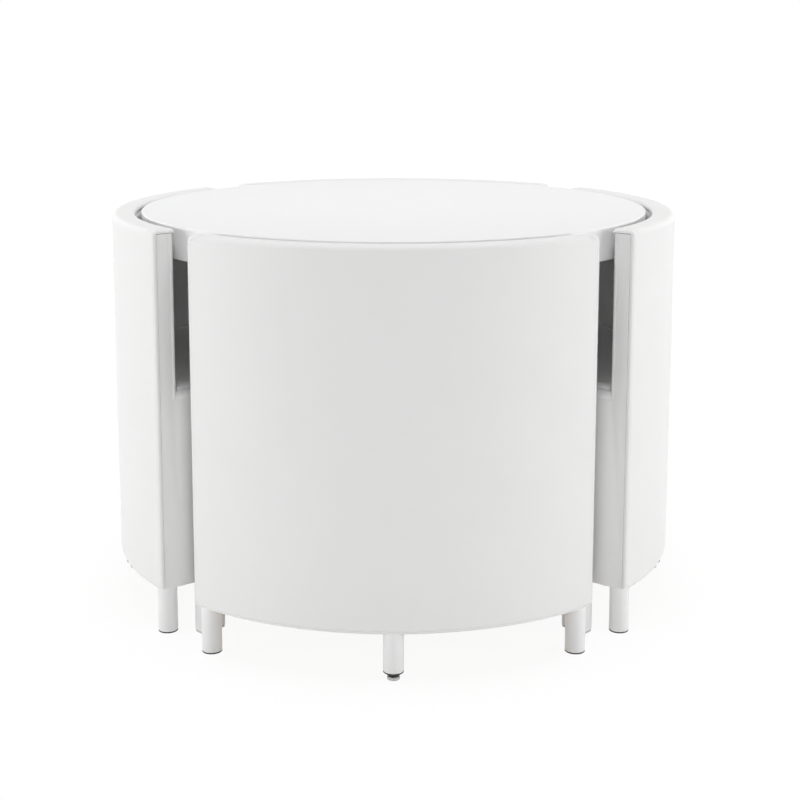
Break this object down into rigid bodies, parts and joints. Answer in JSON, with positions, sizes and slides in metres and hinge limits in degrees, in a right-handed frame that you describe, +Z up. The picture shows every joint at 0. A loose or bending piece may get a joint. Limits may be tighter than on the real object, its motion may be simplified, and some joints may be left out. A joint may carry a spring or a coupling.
{
  "type": "dining table and chairs set",
  "caption": "Round dining table with nesting upholstered chairs, whose curved backs close up into a drum around the table top; the chairs draw out radially.",
  "frame": {"origin": "on the floor, below the middle of the table", "axes": "+Z up, -Y towards the front chair, +X towards the right chair"},
  "size_m": [1.0998, 1.0998, 0.75],
  "materials": {
    "white_lacquer": "satin",
    "core_board": "matte",
    "plywood": "matte",
    "leatherette": "satin",
    "padded_leatherette": "satin",
    "white_steel": "satin",
    "screw_steel": "satin",
    "black_plug": "matte",
    "black_steel": "gloss",
    "pale_plastic": "satin"
  },
  "bodies": {
    "table": {"table_top": "white_lacquer", "table_top_core": "core_board", "table_lower_panel": "white_lacquer", "table_leg_plates": "white_steel", "table_leg_screws": "screw_steel", "table_leg_glides": "black_plug", "table_long_rail": "white_steel", "table_short_rails": "white_steel", "table_leg_right_back": "white_steel", "table_leg_left_back": "white_steel", "table_leg_left_front": "white_steel", "table_leg_right_front": "white_steel"},
    "front_chair": {"front_back_cover": "leatherette", "front_back_core": "plywood", "front_back_pad": "padded_leatherette", "front_side_cover": "leatherette", "front_seat_frame": "plywood", "front_seat_cushion": "padded_leatherette", "front_base_board": "plywood", "front_legs": "white_steel", "front_middle_leg": "white_steel", "front_leg_plugs": "black_plug"},
    "front_glide": {"front_foot_glide": "pale_plastic"},
    "front_screw": {"front_foot_stem": "black_steel"},
    "right_chair": {"right_back_cover": "leatherette", "right_back_core": "plywood", "right_back_pad": "padded_leatherette", "right_side_cover": "leatherette", "right_seat_frame": "plywood", "right_seat_cushion": "padded_leatherette", "right_base_board": "plywood", "right_legs": "white_steel", "right_middle_leg": "white_steel", "right_leg_plugs": "black_plug"},
    "right_glide": {"right_foot_glide": "pale_plastic"},
    "right_screw": {"right_foot_stem": "black_steel"},
    "back_chair": {"back_back_cover": "leatherette", "back_back_core": "plywood", "back_back_pad": "padded_leatherette", "back_side_cover": "leatherette", "back_seat_frame": "plywood", "back_seat_cushion": "padded_leatherette", "back_base_board": "plywood", "back_legs": "white_steel", "back_middle_leg": "white_steel", "back_leg_plugs": "black_plug"},
    "back_glide": {"back_foot_glide": "pale_plastic"},
    "back_screw": {"back_foot_stem": "black_steel"},
    "left_chair": {"left_back_cover": "leatherette", "left_back_core": "plywood", "left_back_pad": "padded_leatherette", "left_side_cover": "leatherette", "left_seat_frame": "plywood", "left_seat_cushion": "padded_leatherette", "left_base_board": "plywood", "left_legs": "white_steel", "left_middle_leg": "white_steel", "left_leg_plugs": "black_plug"},
    "left_glide": {"left_foot_glide": "pale_plastic"},
    "left_screw": {"left_foot_stem": "black_steel"}
  },
  "joints": [
    {"name": "front_chair_slide", "type": "slide", "parent": "table", "child": "front_chair", "axis": [0, -1, 0], "range_m": [0, 0.6]},
    {"name": "front_foot_rise", "type": "slide", "parent": "front_chair", "child": "front_glide", "axis": [0, 0, 1], "range_m": [0, 0.00225]},
    {"name": "front_foot_turn", "type": "hinge", "parent": "front_glide", "child": "front_screw", "pos_m": [0, -0.5315, 0.0053], "axis": [0, 0, 1], "range_deg": [0, 541]},
    {"name": "right_chair_slide", "type": "slide", "parent": "table", "child": "right_chair", "axis": [1, 0, 0], "range_m": [0, 0.6]},
    {"name": "right_foot_rise", "type": "slide", "parent": "right_chair", "child": "right_glide", "axis": [0, 0, 1], "range_m": [0, 0.00225]},
    {"name": "right_foot_turn", "type": "hinge", "parent": "right_glide", "child": "right_screw", "pos_m": [0.5315, 0, 0.0053], "axis": [0, 0, 1], "range_deg": [0, 541]},
    {"name": "back_chair_slide", "type": "slide", "parent": "table", "child": "back_chair", "axis": [0, 1, 0], "range_m": [0, 0.6]},
    {"name": "back_foot_rise", "type": "slide", "parent": "back_chair", "child": "back_glide", "axis": [0, 0, 1], "range_m": [0, 0.00225]},
    {"name": "back_foot_turn", "type": "hinge", "parent": "back_glide", "child": "back_screw", "pos_m": [0, 0.5315, 0.0053], "axis": [0, 0, 1], "range_deg": [0, 541]},
    {"name": "left_chair_slide", "type": "slide", "parent": "table", "child": "left_chair", "axis": [-1, 0, 0], "range_m": [0, 0.6]},
    {"name": "left_foot_rise", "type": "slide", "parent": "left_chair", "child": "left_glide", "axis": [0, 0, 1], "range_m": [0, 0.00225]},
    {"name": "left_foot_turn", "type": "hinge", "parent": "left_glide", "child": "left_screw", "pos_m": [-0.5315, 0, 0.0053], "axis": [0, 0, 1], "range_deg": [0, 541]}
  ],
  "couplings": [
    {"joint": "front_foot_turn", "follows": "front_foot_rise", "rad_per_m": 4188.8},
    {"joint": "right_foot_turn", "follows": "right_foot_rise", "rad_per_m": 4188.8},
    {"joint": "back_foot_turn", "follows": "back_foot_rise", "rad_per_m": 4188.8},
    {"joint": "left_foot_turn", "follows": "left_foot_rise", "rad_per_m": 4188.8}
  ]
}
